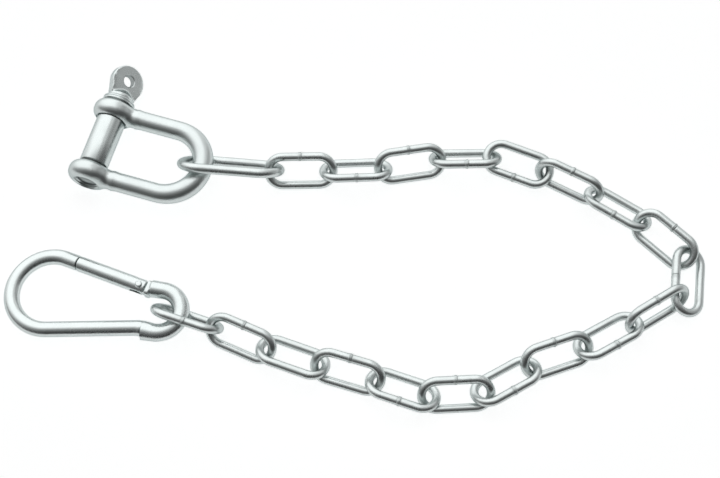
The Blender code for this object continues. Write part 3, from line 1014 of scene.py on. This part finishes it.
@dataclass
class SnapHook:
    """Spring snap hook: bent rod with its eye, round gate and rivet."""

    length: float = 168 * MM
    rod: float = 6.5 * MM
    eye_rod: float = 7 * MM
    big_radius: float = 34.3 * MM
    eye_radius: float = 18.8 * MM
    neck_radius: float = 15.2 * MM
    nose_station: float = 12 * MM
    gate_gap: float = 0.8 * MM
    rivet_station: float = 73.5 * MM
    gate_tail: float = 5.7 * MM
    gate_chamfer: float = 3 * MM
    shoulder_gap: float = 1.3 * MM
    shoulder_station: float = 83.8 * MM
    bend: float = 4 * MM
    tail_bend: float = 2.6 * MM
    collar_width: float = 3.6 * MM
    slot_half: float = 2.9 * MM
    slot_reach: float = 7.5 * MM
    tongue_half: float = 2.7 * MM
    tongue_radius: float = 4.1 * MM
    tongue_flare: float = 1.6 * MM
    flare_run: float = 3 * MM
    tongue_root: float = 4 * MM
    tongue_start: float = 0.12
    tongue_gap: float = 0.5 * MM
    tongue_rows: tuple = (20, 14)
    tongue_power: int = 8
    collar_power: int = 5
    gate_rows: int = 24
    gate_columns: int = 64
    slot_rows: int = 17
    slot_past: float = 20 * MM
    dome_rows: int = 9
    dome_power: float = 0.6
    rivet: float = 2.1 * MM
    rivet_room: float = 0.3 * MM
    rivet_lift: float = 0.15 * MM
    shank_end: float = 2 * MM
    rivet_head: float = 2.9 * MM
    seat: float = 3.2 * MM
    seat_depth: float = 0.9 * MM
    rivet_head_height: float = 1.0 * MM
    heading: float = 169.0
    pitch: float = -3.4
    trim: float = 0.03 * MM
    widening: float = 0.07
    drift: float = 0.44 * MM
    nose_sag: float = 0.8 * MM
    nose_steps: tuple = (0.0, 0.12, 0.35, 0.7, 1.2, 3.0, 6.0, 9.0)
    end_steps: tuple = (0.5, 0.32, 0.18, 0.08, 0.0)
    gate_steps: tuple = (0.0, 0.1, 0.25, 0.5, 0.8, 1.2)
    growth_run: float = 6 * MM
    growth_at_end: float = 0.35 * MM
    bulge: float = 3.3 * MM
    bulge_start: float = 1.4 * MM
    bulge_full: float = 2.8 * MM
    bulge_run: float = 11 * MM
    end_lean: float = 0.6 * MM
    end_run: float = 9 * MM
    notch: float = 0.6 * MM
    notch_width: float = 0.5 * MM
    collar_edge: float = 0.5 * MM
    collar_rise: float = 0.05 * MM
    nose_bevel: float = 0.7 * MM
    end_bevel: float = 0.5 * MM
    gate_bevels: tuple = (0.8 * MM, 1.2 * MM)
    gate_ends: float = 3 * MM
    sag_run: float = 8 * MM
    outer_power: float = 1.8
    step_power: float = 0.5
    dip: float = 0.5 * MM
    dip_at: float = 1.0 * MM
    dip_width: float = 0.5 * MM
    hollow_run: float = 5 * MM
    rub_at: float = 48 * MM
    rub_width: float = 26 * MM
    big_rows: int = 90
    back_rows: int = 26
    back_inset: float = 2 * MM
    eye_rows: int = 72
    round_columns: int = 40
    tool_reach: float = 12 * MM
    columns: int = 48

    def shape(self) -> tuple:
        """Spacing of the two arcs' middles, and the angle between the axis and the gate's line."""
        spread = self.length - self.big_radius - self.eye_radius - self.rod - self.eye_rod
        return spread, np.arcsin((self.big_radius - self.neck_radius) / spread)

    def gate_line(self, station: float) -> Array:
        """A point on the gate's line.

        Args:
            station: How far it lies from the big arc.

        Returns:
            The point in the hook's axes.
        """
        spread, taper = self.shape()
        x = spread - self.big_radius * np.sin(taper) - station * np.cos(taper)
        return np.array([x, -self.big_radius * np.cos(taper) + station * np.sin(taper)])

    def place(self, joints: dict) -> Place:
        """The hook's axes, from its lie and the place of its rivet.

        Args:
            joints: The frame's joints by name.

        Returns:
            Axes with the eye's middle as origin and a towards the big end.
        """
        turn, climb = np.radians(self.heading), np.radians(self.pitch)
        a = np.array([np.cos(turn) * np.cos(climb), np.sin(turn) * np.cos(climb), np.sin(climb)])
        b = unit(np.cross(UP, a))
        pivot = np.array(joints["gate_opening"]["pos_m"])
        x, y = self.gate_line(self.rivet_station)
        return Place(pivot - a * x - b * y, a, b, np.cross(a, b))

    def gate_place(self, place: Place) -> Place:
        """The gate's axes: origin on the rivet, a towards the eye and b out of the hook.

        Args:
            place: The hook's axes.

        Returns:
            The axes.
        """
        taper = self.shape()[1]
        a = -place.a * np.cos(taper) + place.b * np.sin(taper)
        b = -place.a * np.sin(taper) - place.b * np.cos(taper)
        x, y = self.gate_line(self.rivet_station)
        return Place(place.world(np.array([x, y, 0.0])), a, b, place.n)

    @staticmethod
    def rounded(corner: Array, arriving: float, leaving: float, before: float, after: float) -> tuple:
        """A rounded corner of the path.

        Formula: the quadratic curve from a point before the corner to one after it, drawn towards
        the corner itself; its heading is that of its own slope.

        Args:
            corner: The corner.
            arriving: Heading of the path that comes in, in radians.
            leaving: Heading of the path that goes out.
            before: How far before the corner the curve begins.
            after: How far past it the curve ends.

        Returns:
            Points of the curve, their headings, and their distances from the corner.
        """
        share = np.linspace(0, 1, BEND_ROWS)[:, None]
        first = np.array([np.cos(arriving), np.sin(arriving)])
        second = np.array([np.cos(leaving), np.sin(leaving)])
        points = corner - (1 - share) ** 2 * before * first + share ** 2 * after * second
        slope = (1 - share) * before * first + share * after * second
        return points, np.arctan2(slope[:, 1], slope[:, 0]), share[:, 0] * (before + after) - before

    def rod_skin(self) -> Skin:
        """The bent rod from its nose to the end of its eye.

        Formula: a straight nose, the big arc and the straight back, then a bend outwards to the
        line that touches the eye's arc, that arc, and the same bend mirrored. The rod steps up at
        the shoulder, more on its outer side, and the step fades along the eye. Its end is a collar
        with a squared section behind a shallow notch. Both end faces have a small bevel.

        Returns:
            The closed surface.
        """
        spread, taper = self.shape()
        open_angle = np.pi / 2 + taper
        nose = np.array(self.nose_steps) * MM
        way = np.array([np.cos(taper), -np.sin(taper)])
        lead = self.gate_line(self.nose_station) + nose[:, None] * way
        big = np.linspace(-open_angle, open_angle, self.big_rows)
        arc = np.stack([spread + self.big_radius * np.cos(big), self.big_radius * np.sin(big)], -1)
        stations = np.linspace(self.back_inset, self.shoulder_station - self.bend - self.back_inset,
                               self.back_rows)
        back = np.array([self.gate_line(station) for station in stations]) * [1, -1]
        corner = self.gate_line(self.shoulder_station) * [1, -1]
        reach = np.hypot(*corner)
        eye_angle = np.arctan2(corner[1], corner[0]) + np.arccos(self.eye_radius / reach)
        run = np.sqrt(reach ** 2 - self.eye_radius ** 2)
        out, back_way = eye_angle + np.pi / 2, np.pi + taper
        bent, bent_way, bent_at = self.rounded(corner, back_way, out, self.bend, self.bend)
        small = np.linspace(eye_angle, TAU - eye_angle, self.eye_rows)
        eye = self.eye_radius * np.stack([np.cos(small), np.sin(small)], -1)
        hinge = corner * [1, -1]
        home, home_way, home_at = self.rounded(hinge, -out + np.pi, -taper, self.bend, self.tail_bend)
        length = self.shoulder_station - self.rivet_station - self.gate_tail - self.shoulder_gap
        close = np.maximum(length - np.array(self.end_steps) * MM, self.tail_bend + 0.05 * MM)
        tail = hinge + close[:, None] * way
        centre = np.concatenate([lead, arc, back, bent, eye, home, tail])
        heading = np.concatenate([
            np.full(len(lead), -taper), big + np.pi / 2, np.full(len(back), back_way), bent_way,
            small + np.pi / 2, home_way, np.full(len(tail), -taper)])
        arc_run = run + self.eye_radius * (small - eye_angle)
        before = np.full(len(lead) + len(arc), -1.0)
        past = np.concatenate([before, stations - self.shoulder_station, bent_at, arc_run,
                               np.full(len(home) + len(tail), 1.0)])
        ends = np.concatenate([np.full(len(before) + len(back) + len(bent), 1.0),
                               length + run + self.eye_radius * (TAU - eye_angle - small),
                               length - home_at, length - close])
        from_nose = np.concatenate([nose, np.full(len(centre) - len(lead), 1.0)])
        outward = np.concatenate([np.full(len(lead), 1.0), 1 - 2 * ease(big, -open_angle, -0.4),
                                  np.full(len(back) + len(bent), -1.0), small / np.pi - 1,
                                  np.full(len(home) + len(tail), 1.0)])
        return self.rod_section(centre, heading, past, ends, from_nose, outward * self.drift)

    def rod_section(self, centre: Array, heading: Array, past: Array, ends: Array, nose: Array,
                    drift: Array) -> Skin:
        """The rod's section carried along its path.

        Formula: a circle, slightly wider across than it is high, that grows along the bend. On its
        outer side a bulge begins abruptly behind a dip and fades along the eye. The collar, a
        rounded square, and its notch are added to the radius. The nose's face is hollowed like the
        gate's end that fits it. The eye's inner side is rubbed.

        Args:
            centre: Points of the path.
            heading: Heading at each.
            past: How far past the shoulder each lies.
            ends: How far each lies from the end face.
            nose: How far each lies from the nose.
            drift: How far out of the hook the section moves.

        Returns:
            The closed surface.
        """
        angle = round_angles(self.columns)[None, :]
        outer = (HALF - HALF * np.cos(angle)) ** self.outer_power
        collar = 1 - ease(ends, self.collar_width, self.collar_width + self.collar_edge)
        end_fade = np.exp(-np.maximum(ends - self.collar_width, 0) / self.end_run)
        growth = self.eye_rod - self.rod + self.growth_at_end * end_fade
        growth = growth * ease(past, -self.growth_run, self.growth_run) * (1 - collar)
        groove = self.notch * bell(ends - self.collar_width - self.notch_width, self.notch_width)
        radius = self.rod - self.trim + growth + self.collar_rise * collar - groove
        radius = radius - self.bevelled(nose, self.nose_bevel) - self.bevelled(ends, self.end_bevel)
        step = ease(past, self.bulge_start, self.bulge_full) ** self.step_power
        bulge = self.bulge * step * np.exp(-np.maximum(past, 0) / self.bulge_run) * (1 - collar)
        bulge = bulge - self.dip * bell(past - self.dip_at, self.dip_width)
        lean = growth + self.end_lean * step * end_fade * (1 - collar) + drift
        section = radius[:, None] * (1 + collar[:, None] * (squared(angle, self.collar_power) - 1))
        section = section + bulge[:, None] * outer
        across = section * (1 + self.widening) * np.cos(angle)
        points = swept(centre, heading, across - lean[:, None], section * np.sin(angle))
        hollow = self.nose_sag * (1 - np.minimum((across / self.rod) ** 2, 1))
        hollow = hollow * np.maximum(1 - nose[:, None] / self.hollow_run, 0)
        points[..., 0] += hollow * np.cos(heading)[:, None]
        points[..., 1] += hollow * np.sin(heading)[:, None]
        inner = step * (1 - collar) * bell(past - self.rub_at, self.rub_width)
        return Skin(points, False, {"rub": inner[:, None] * inner_side(angle)})

    @staticmethod
    def bevelled(distance: Array, bevel: float) -> Array:
        """How much a rounded edge takes off the radius at this distance from the end face."""
        left = np.clip(1 - distance / bevel, 0, 1)
        return bevel * (1 - np.sqrt(np.maximum(1 - left ** 2, 0)))

    def tongue_skin(self) -> Skin:
        """The flat hinge tongue.

        Formula: a rounded rectangle carried along the tongue's length, widening from the half
        circle at the rivet's end to nearly the rod's width.

        Returns:
            The closed surface, in the gate's axes.
        """
        root = self.gate_tail + self.shoulder_gap + self.tongue_root
        bend = np.linspace(self.tongue_start, np.pi / 2, self.tongue_rows[0])
        x = np.concatenate([-self.tongue_radius * np.cos(bend),
                            np.linspace(self.tongue_gap, root, self.tongue_rows[1])])
        width = np.sqrt(np.maximum(self.tongue_radius ** 2 - np.minimum(x, 0) ** 2, 0))
        width = (width + self.tongue_flare * ease(x, 0, self.flare_run))[:, None]
        angle = round_angles(self.round_columns)[None, :]
        square = squared(angle, self.tongue_power)
        points = np.stack([x[:, None] + 0 * angle, width * square * np.cos(angle),
                           self.tongue_half * square * np.sin(angle) + 0 * width], -1)
        return Skin(points)

    def gate_skin(self) -> Skin:
        """The round gate.

        Formula: a bar whose radius is rounded off at the nose end and at the tail. Its section is
        slightly wider than high, and its nose end is domed across the gate.

        Returns:
            The closed surface, turned about its own length.
        """
        nose = self.nose_station + self.gate_gap - self.rivet_station
        steps = np.array(self.gate_steps) * MM
        front = list(zip(self.rod - self.bevelled(steps, self.gate_bevels[0]), nose + steps))
        rear = list(zip(self.rod - self.bevelled(steps, self.gate_bevels[1]), self.gate_tail - steps))
        rest = np.linspace(nose + self.gate_ends, self.gate_tail - self.gate_ends, self.gate_rows)
        body = [(self.rod, y) for y in rest]
        bar = turned(front + body + rear[::-1], self.gate_columns)
        across = -bar.points[..., 0] * (1 + self.widening)
        sag = self.nose_sag * (1 - np.minimum((across / self.rod) ** 2, 1))
        bar.points[..., 1] -= sag * (1 - ease(bar.points[..., 1], nose, nose + self.sag_run))
        bar.points[..., 0] = -across - self.drift
        return bar

    def slot_skin(self) -> Skin:
        """The tool that cuts the tongue's slot, round at its blind end; its faces are painted dark as
        shade.

        Formula: a rounded rectangle carried across the gate; its blind side is a half circle.

        Returns:
            The closed surface, in the gate's axes.
        """
        reach, half = self.slot_reach, self.slot_half
        bend = np.linspace(-np.pi / 2, np.pi / 2, self.slot_rows)
        x = np.concatenate([-reach + half - half * np.cos(bend), [self.slot_past, self.slot_past]])
        z = np.concatenate([half * np.sin(bend), [half, -half]])
        y = np.array([-self.tool_reach, self.tool_reach])[:, None]
        points = np.stack([x[None, :] + 0 * y, y + 0 * x[None, :], z[None, :] + 0 * y], -1)
        # The bore mark paints the slot's cut faces dark as shade.
        return Skin(points, False, {"bore": np.ones(points.shape[:2])})

    def corner_skin(self) -> Skin:
        """The tool that takes the inner corner off the gate's tail, so that the gate can turn.

        Formula: a triangle carried through the gate along the hinge's axis.

        Returns:
            The closed surface, in the gate's axes.
        """
        cut, tail = self.gate_chamfer, self.gate_tail
        x = np.array([tail - 2 * cut, tail + cut, tail + cut])[None, :]
        y = np.array([-self.rod - cut, -self.rod - cut, -self.rod + 2 * cut])[None, :]
        z = np.array([-self.tool_reach, self.tool_reach])[:, None]
        return Skin(np.stack([x + 0 * z, y + 0 * z, z + 0 * x], -1))

    def rivet_skin(self) -> Skin:
        """The rivet.

        Formula: a shank with a head at each end, turned about the hinge's axis. Each head is a
        steep dome on a short straight side.

        Returns:
            The closed surface.
        """
        foot = self.rod + self.rivet_room
        rise = np.linspace(0, np.pi / 2, self.dome_rows)[:-1]
        dome = zip(self.rivet_head * np.cos(rise) ** self.dome_power,
                   foot + self.rivet_head_height * np.sin(rise))
        low = self.rod - self.seat_depth + self.rivet_lift
        half = [(self.rivet, low - self.shank_end), (self.rivet, low), (self.rivet_head, low), *dome]
        return turned([(r, -y) for r, y in reversed(half)] + half, self.round_columns)

    def build(self, shop: Workshop, nodes: dict, joints: dict) -> None:
        """Make the body, the gate and the rivet where their solids lie.

        Args:
            shop: Where pieces are made.
            nodes: The frame's solids; not used.
            joints: The frame's joints by name.
        """
        place = self.place(joints)
        gate = self.gate_place(place)
        lengthwise = Place(gate.origin, -gate.b, gate.a, gate.n)
        hinge = Place(gate.origin, gate.a, gate.n, -gate.b)
        width, reach = self.rivet + self.rivet_room, self.tool_reach
        drill = turned([(width, -reach), (width, reach)], self.round_columns)
        rod = self.rod_skin().mesh("rod", place)
        rod = shop.cut(rod, [self.tongue_skin().mesh("tongue", gate)], "UNION")
        rod = shop.cut(rod, [drill.mesh("drill", hinge)])
        shop.piece("hook_rod", rod, HOOK_FINISH, "hook", "hook_body")
        foot = self.rod - self.seat_depth
        seats = [turned([(self.seat, start), (self.seat, end)], self.round_columns)
                 for start, end in ((foot, reach), (-reach, -foot))]
        bar = self.gate_skin().mesh("bar", lengthwise)
        tools = [self.slot_skin().mesh("slot", gate), self.corner_skin().mesh("corner", gate)]
        tools += [skin.mesh("seat", hinge) for skin in [drill, *seats]]
        bar = shop.cut(bar, tools)
        shop.piece("hook_gate_bar", bar, HOOK_FINISH, "gate", "hook_gate")
        rivet = self.rivet_skin().mesh("rivet", hinge)
        shop.piece("hook_gate_rivet", rivet, PIN_FINISH, "gate", "gate_rivet")


@dataclass
class Studio:
    """Pale floor, soft light from above and the photograph's camera."""

    crown_from_target: tuple = (-0.1760, 0.0686)
    elevation: float = 68.0
    distance: float = 1.2
    lens: float = 66.0
    sensor: float = 36.0
    floor_half: float = 6.0
    floor_colour: tuple = (0.86, 0.87, 0.87)
    mottle: float = 0.985
    mottle_scale: float = 9.0
    mottle_detail: float = 2.0
    floor_roughness: float = 0.9
    floor_gloss: float = 0.1
    clip: tuple = (0.05, 50.0)
    sky: float = 1.62
    backdrop: float = 0.93
    front_to_back: tuple = ((-0.90, 0.035), (-0.74, 0.07), (-0.54, 0.13), (-0.35, 0.22), (-0.15, 0.38),
                            (0.0, 0.60), (0.10, 0.84), (0.20, 1.0))
    side_to_side: tuple = ((-1.0, 0.35), (-0.90, 0.70), (-0.70, 1.0), (0.27, 1.0), (0.37, 0.50),
                           (0.44, 0.46), (0.55, 0.72), (0.68, 0.36), (0.84, 0.26), (0.94, 0.42),
                           (1.0, 0.44))
    fill_size: float = 8.0
    fill_height: float = 3.0
    fill_power: float = 100.0
    floor_glow: float = 0.70

    def camera(self, crown: Array) -> None:
        """The camera at the photograph's angle, looking along +Y and down.

        Args:
            crown: Middle of the shackle's crown, which fixes the point that the camera looks at.
        """
        target = np.append(crown[:2] - np.array(self.crown_from_target), 0.0)
        rise = np.radians(self.elevation)
        data = bpy.data.cameras.new("camera")
        data.lens = self.lens
        data.sensor_width = self.sensor
        data.clip_start, data.clip_end = self.clip
        thing = bpy.data.objects.new("camera", data)
        back = np.array([0.0, -np.cos(rise), np.sin(rise)])
        thing.location = target + back * self.distance
        thing.rotation_euler = (np.pi / 2 - rise, 0.0, 0.0)
        bpy.context.scene.collection.objects.link(thing)
        bpy.context.scene.camera = thing

    def floor(self) -> None:
        """A plain pale floor with a faint mottle."""
        size = self.floor_half
        mesh = bpy.data.meshes.new("floor")
        mesh.from_pydata([(-size, -size, 0), (size, -size, 0), (size, size, 0), (-size, size, 0)], [],
                         [(0, 1, 2, 3)])
        material = bpy.data.materials.new("floor")
        material.use_nodes = True
        tree = material.node_tree
        shader = tree.nodes["Principled BSDF"]
        place = tree.nodes.new("ShaderNodeTexCoord").outputs["Object"]
        mottle = Finish.noise(tree, place, self.mottle_scale, self.mottle_detail)
        shade = tuple(value * self.mottle for value in self.floor_colour)
        tree.links.new(Finish.mixed(tree, mottle, self.floor_colour, shade), shader.inputs["Base Color"])
        shader.inputs["Roughness"].default_value = self.floor_roughness
        shader.inputs["Specular IOR Level"].default_value = self.floor_gloss
        shader.inputs["Emission Color"].default_value = (1.0, 1.0, 1.0, 1.0)
        shader.inputs["Emission Strength"].default_value = self.floor_glow
        mesh.materials.append(material)
        thing = bpy.data.objects.new("floor", mesh)
        bpy.context.scene.collection.objects.link(thing)

    def light(self) -> None:
        """A studio dome that the metal mirrors, and a wide soft light from above for the floor.

        The dome is white behind and above, and falls to dark towards the front and the right, as the
        steel shows in the photograph. The camera sees a plain backdrop in its place.
        """
        world = bpy.data.worlds.new("studio")
        bpy.context.scene.world = world
        world.use_nodes = True
        world.cycles_visibility.diffuse = False
        tree = world.node_tree
        tree.nodes.clear()
        place = tree.nodes.new("ShaderNodeTexCoord")
        split = tree.nodes.new("ShaderNodeSeparateXYZ")
        tree.links.new(place.outputs["Generated"], split.inputs[0])
        depth = self.ramp(tree, split.outputs["Y"], self.front_to_back)
        breadth = self.ramp(tree, split.outputs["X"], self.side_to_side)
        dome = tree.nodes.new("ShaderNodeMath")
        dome.operation = "MULTIPLY"
        tree.links.new(depth, dome.inputs[0])
        tree.links.new(breadth, dome.inputs[1])
        studio = tree.nodes.new("ShaderNodeBackground")
        studio.inputs["Strength"].default_value = self.sky
        tree.links.new(dome.outputs[0], studio.inputs["Color"])
        backdrop = tree.nodes.new("ShaderNodeBackground")
        backdrop.inputs["Color"].default_value = (self.backdrop, self.backdrop, self.backdrop, 1.0)
        rays = tree.nodes.new("ShaderNodeLightPath")
        mix = tree.nodes.new("ShaderNodeMixShader")
        tree.links.new(rays.outputs["Is Camera Ray"], mix.inputs[0])
        tree.links.new(studio.outputs[0], mix.inputs[1])
        tree.links.new(backdrop.outputs[0], mix.inputs[2])
        output = tree.nodes.new("ShaderNodeOutputWorld")
        tree.links.new(mix.outputs[0], output.inputs["Surface"])
        bpy.context.scene.view_settings.view_transform = "Standard"
        fill = bpy.data.lights.new("fill", "AREA")
        fill.size = self.fill_size
        fill.energy = self.fill_power
        thing = bpy.data.objects.new("fill", fill)
        thing.location = (0.0, 0.0, self.fill_height)
        thing.visible_glossy = False
        thing.visible_camera = False
        bpy.context.scene.collection.objects.link(thing)

    @staticmethod
    def ramp(tree: Tree, value: Socket, stops: tuple) -> Socket:
        """Brightness by one part of the direction.

        Args:
            tree: The world's nodes.
            value: That part, from minus one to one.
            stops: Pairs of the part and the brightness there.

        Returns:
            Output with the brightness.
        """
        shift = tree.nodes.new("ShaderNodeMath")
        shift.operation = "MULTIPLY_ADD"
        tree.links.new(value, shift.inputs[0])
        shift.inputs[1].default_value = HALF
        shift.inputs[2].default_value = HALF
        ramp = tree.nodes.new("ShaderNodeValToRGB")
        tree.links.new(shift.outputs[0], ramp.inputs["Fac"])
        elements = ramp.color_ramp.elements
        for number, (part, level) in enumerate(stops):
            at = HALF + HALF * part
            stop = elements[number] if number < 2 else elements.new(at)
            stop.position = at
            stop.color = (level, level, level, 1.0)
        return ramp.outputs["Color"]

    def build(self, crown: Array) -> None:
        """Make the camera, the floor and the light.

        Args:
            crown: Middle of the shackle's crown.
        """
        self.camera(crown)
        self.floor()
        self.light()


def main() -> None:
    """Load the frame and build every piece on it."""
    logging.basicConfig(level=logging.INFO, format="%(name)s: %(message)s")
    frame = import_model()
    joints = {joint["name"]: joint for joint in frame["joints"]}
    shop = Workshop()
    shackle = Shackle()
    Studio().build(shackle.place(frame["nodes"], joints).origin)
    shackle.build(shop, frame["nodes"], joints)
    Chain().build(shop, frame["nodes"])
    SnapHook().build(shop, frame["nodes"], joints)


if __name__ == "__main__":
    main()
